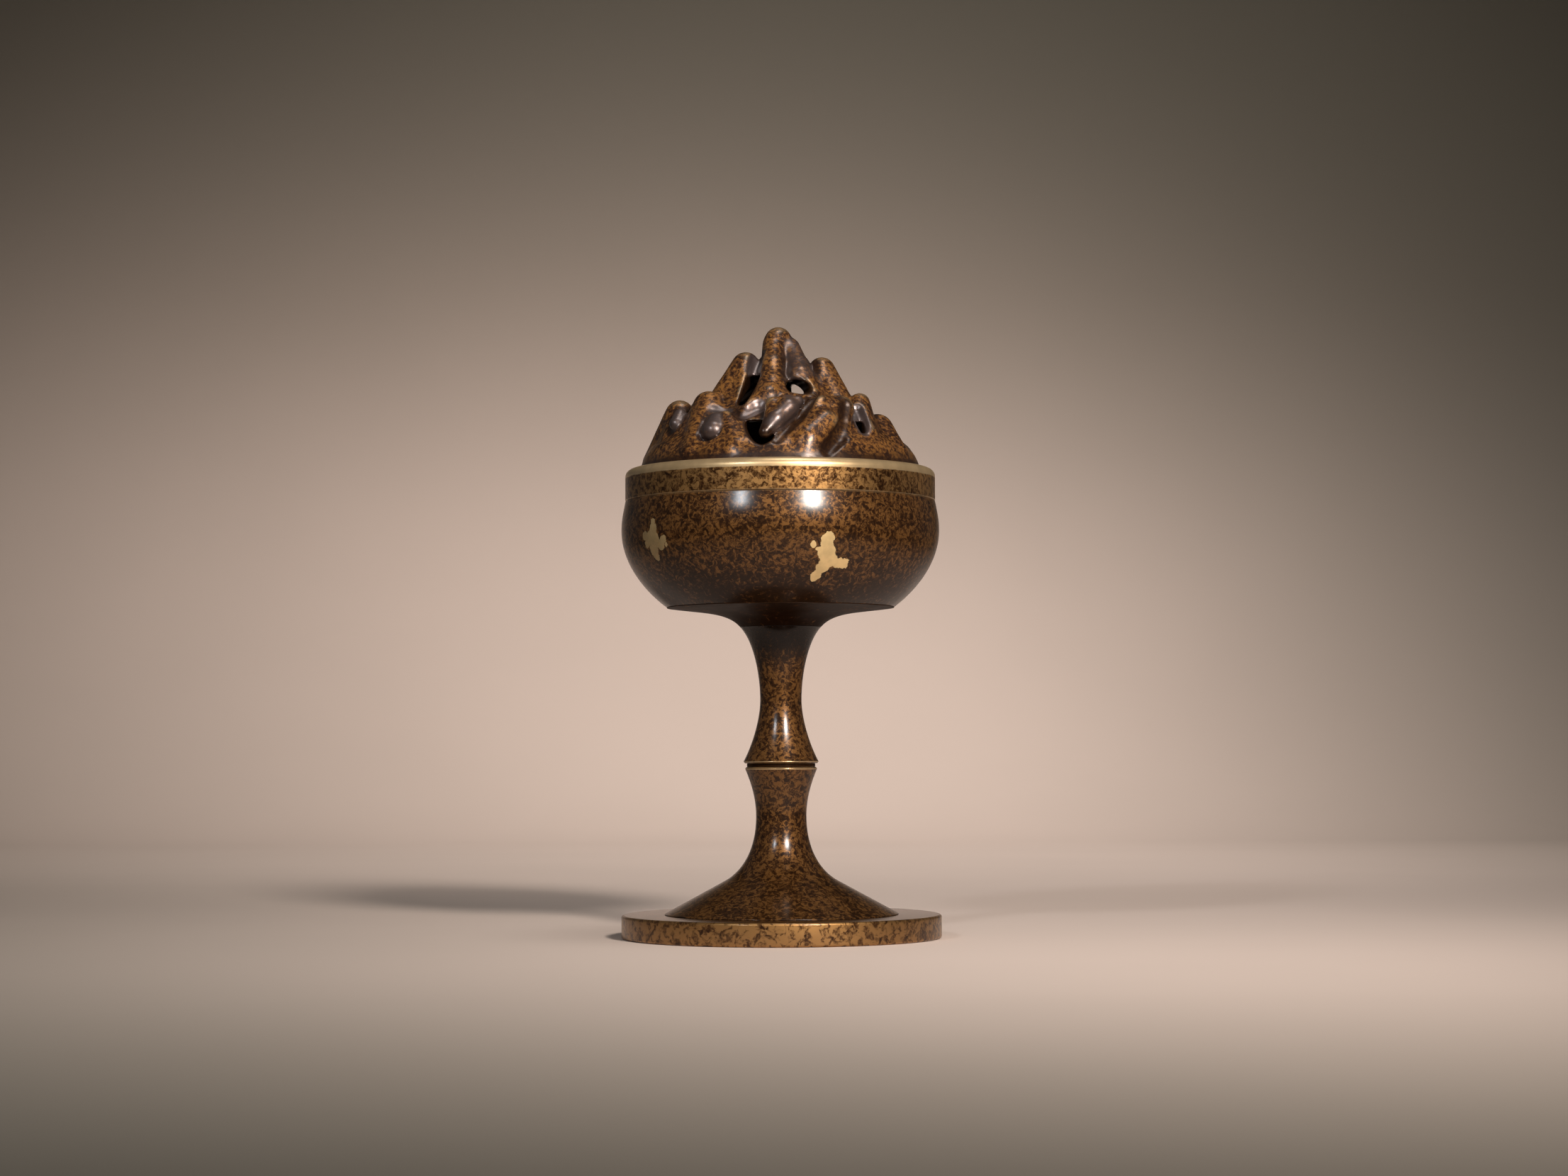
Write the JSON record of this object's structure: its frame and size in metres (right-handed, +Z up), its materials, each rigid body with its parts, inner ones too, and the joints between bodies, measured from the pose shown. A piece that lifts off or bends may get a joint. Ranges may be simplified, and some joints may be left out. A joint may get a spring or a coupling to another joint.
{
  "type": "hill censer",
  "caption": "Footed bronze incense burner with a jointed stem, a round bowl and a lift-off lid cast as a pierced mountain that lets the smoke out.",
  "frame": {"origin": "centre of the standing ring under the base, on the table plane", "axes": "+Z up along the stem axis, front of the lid towards -Y"},
  "size_m": [0.1, 0.1, 0.1916],
  "materials": {
    "mottled_bronze": "glossy lacquered patina, dark brown mottled with gold brown",
    "golden_bronze": "rubbed golden patina with dark spots, polished on the lip",
    "dark_bronze": "smooth dark brown lacquered patina",
    "copper": "spun copper, dulled by heat",
    "bright_brass": "turned bright brass",
    "steel": "zinc-bright steel"
  },
  "bodies": {
    "stand": {"base_disc": "golden_bronze", "base_washer": "steel", "lock_washer": "steel", "base_nut": "steel", "tie_rod": "steel", "lower_stem": "mottled_bronze", "node_spacer": "dark_bronze", "upper_stem": "mottled_bronze", "bowl_saddle": "dark_bronze", "bowl_shell": "mottled_bronze", "rim_band": "golden_bronze"},
    "lid": {"lid_mountain": "mottled_bronze", "lid_seat_ring": "dark_bronze"},
    "liner": {"ash_liner": "copper", "incense_dish": "bright_brass"}
  },
  "joints": [
    {"name": "lid_lift", "type": "slide", "parent": "stand", "child": "lid", "axis": [0, 0, 1], "range_m": [0, 0.1]},
    {"name": "liner_lift", "type": "slide", "parent": "stand", "child": "liner", "axis": [0, 0, 1], "range_m": [0, 0.0143]}
  ]
}
